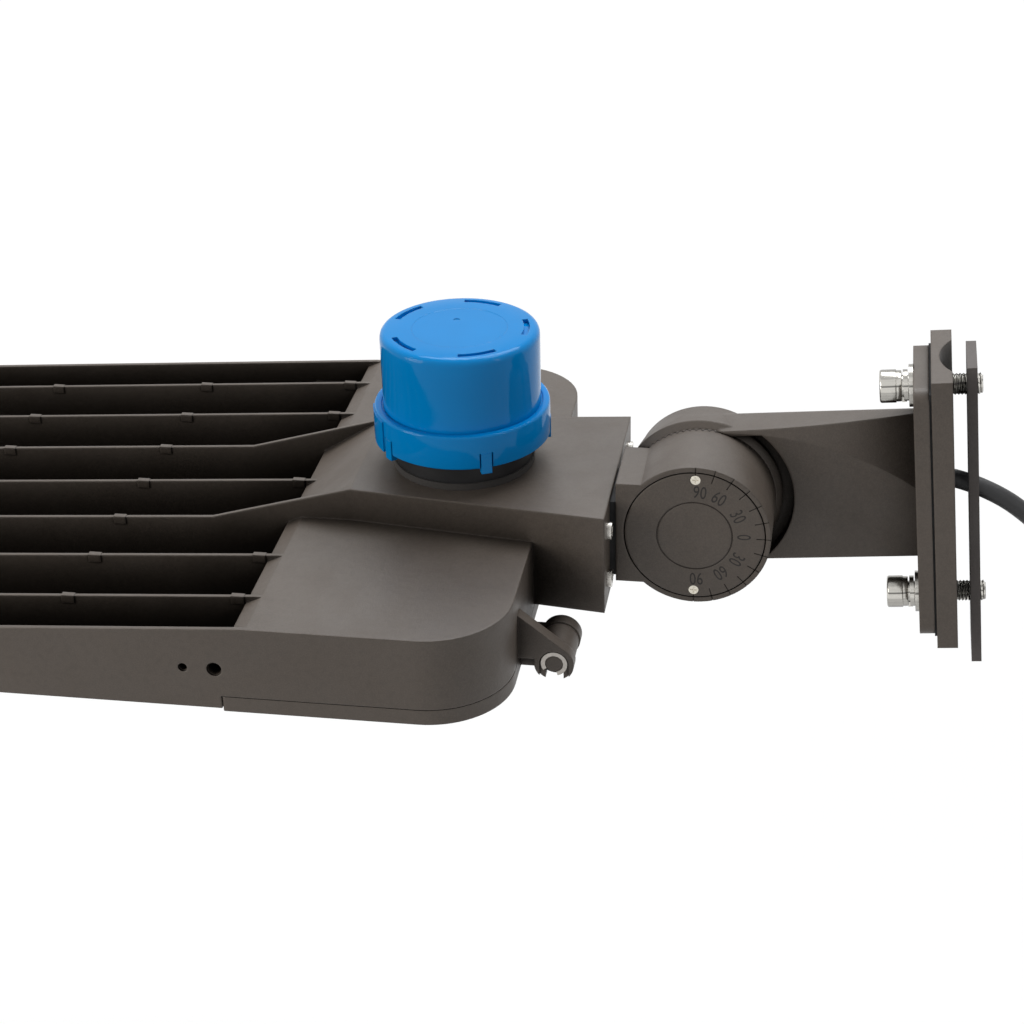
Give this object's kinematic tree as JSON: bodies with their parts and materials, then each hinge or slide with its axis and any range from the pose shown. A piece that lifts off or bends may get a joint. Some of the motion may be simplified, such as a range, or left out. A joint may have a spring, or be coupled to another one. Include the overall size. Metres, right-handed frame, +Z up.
{
  "type": "area floodlight",
  "caption": "Outdoor area floodlight: finned head with a driver door, a twist-lock cap on top, and a toothed tilting knuckle on an arm that bolts to a pole.",
  "frame": {"origin": "middle of the adapter plate's pole face, half way between the two mounting bolts", "axes": "+X points into the pole, +Z is up, and +Y points from the dial side of the knuckle to the arm side; the head reaches out along -X"},
  "size_m": [0.7713, 0.28, 0.4047],
  "materials": {
    "bronze_casting": "dark bronze powder coat on die-cast aluminium, satin",
    "bronze_plate": "dark bronze paint on steel, satin",
    "stainless": "stainless steel, satin",
    "black_rubber": "matte",
    "grey_rubber": "matte",
    "black_plastic": "matte",
    "blue_plastic": "satin",
    "dark_plastic": "matte",
    "board_white": "white solder mask, satin",
    "led_yellow": "gloss",
    "clear_optic": "clear, gloss",
    "driver_case": "plain, satin",
    "surge_case": "satin",
    "terminal_white": "matte",
    "brass": "satin",
    "inner_plate": "mill finish",
    "cord_black": "matte",
    "tie_white": "satin",
    "wire_insulation": "satin",
    "copper": "bare strands"
  },
  "bodies": {
    "arm": {"arm": "bronze_casting", "pole_gasket": "black_rubber", "pole_adapter": "bronze_casting", "mounting_bolts": "stainless", "bolt_lock_washers": "stainless", "bolt_washers": "stainless", "cord_bushing": "black_rubber", "pivot_bolt": "stainless", "pivot_washer": "stainless", "pivot_lock_washer": "stainless", "pivot_nut": "stainless", "cord": "cord_black", "cord_coil": "cord_black", "coil_tie": "tie_white", "cord_tail": "cord_black", "lead_wires": "wire_insulation", "lead_ends": "copper"},
    "backing": {"backing_plate": "bronze_plate"},
    "head": {"housing": "bronze_casting", "knuckle": "bronze_casting", "knuckle_gasket": "black_rubber", "knuckle_screws": "stainless", "neck_plate": "inner_plate", "neck_screws": "stainless", "dial_cover": "bronze_casting", "dial_screws": "stainless", "led_boards": "board_white", "leds": "led_yellow", "lens_panels": "clear_optic", "lens_gaskets": "grey_rubber", "lens_frames": "bronze_casting", "frame_screws": "stainless", "led_driver": "driver_case", "driver_screws": "stainless", "surge_protector": "surge_case", "terminal_block": "terminal_white", "terminal_screws": "brass", "receptacle_gasket": "grey_rubber"},
    "door": {"driver_door": "bronze_casting", "door_gasket": "black_rubber", "door_screws": "stainless", "hinge_pins": "bronze_casting", "hinge_clips": "stainless"},
    "receptacle": {"receptacle": "black_plastic", "receptacle_contacts": "brass"},
    "cap_seal": {"cap_gasket": "grey_rubber"},
    "cap": {"shorting_cap": "blue_plastic", "cap_base": "dark_plastic", "cap_blades": "brass"}
  },
  "joints": [
    {"name": "tilt", "type": "hinge", "parent": "arm", "child": "head", "pos_m": [-0.1175, 0, -0.0027], "axis": [0, 1, 0], "range_deg": [-95, 85]},
    {"name": "backing_clamp", "type": "slide", "parent": "arm", "child": "backing", "axis": [1, 0, 0], "range_m": [-0.0032, 0.002]},
    {"name": "door_swing", "type": "hinge", "parent": "head", "child": "door", "pos_m": [-0.17746, 0, -0.03409], "axis": [0, -1, 0], "range_deg": [0, 95]},
    {"name": "receptacle_turn", "type": "hinge", "parent": "head", "child": "receptacle", "pos_m": [-0.22846, 0, 0.02327], "axis": [0.0872, 0, 0.9962], "range_deg": [-170, 170]},
    {"name": "cap_twist", "type": "hinge", "parent": "receptacle", "child": "cap_seal", "pos_m": [-0.22846, 0, 0.02327], "axis": [0.0872, 0, 0.9962], "range_deg": [0, 35]},
    {"name": "cap_lift", "type": "slide", "parent": "cap_seal", "child": "cap", "axis": [0.0872, 0, 0.9962], "range_m": [0, 0.03]}
  ]
}
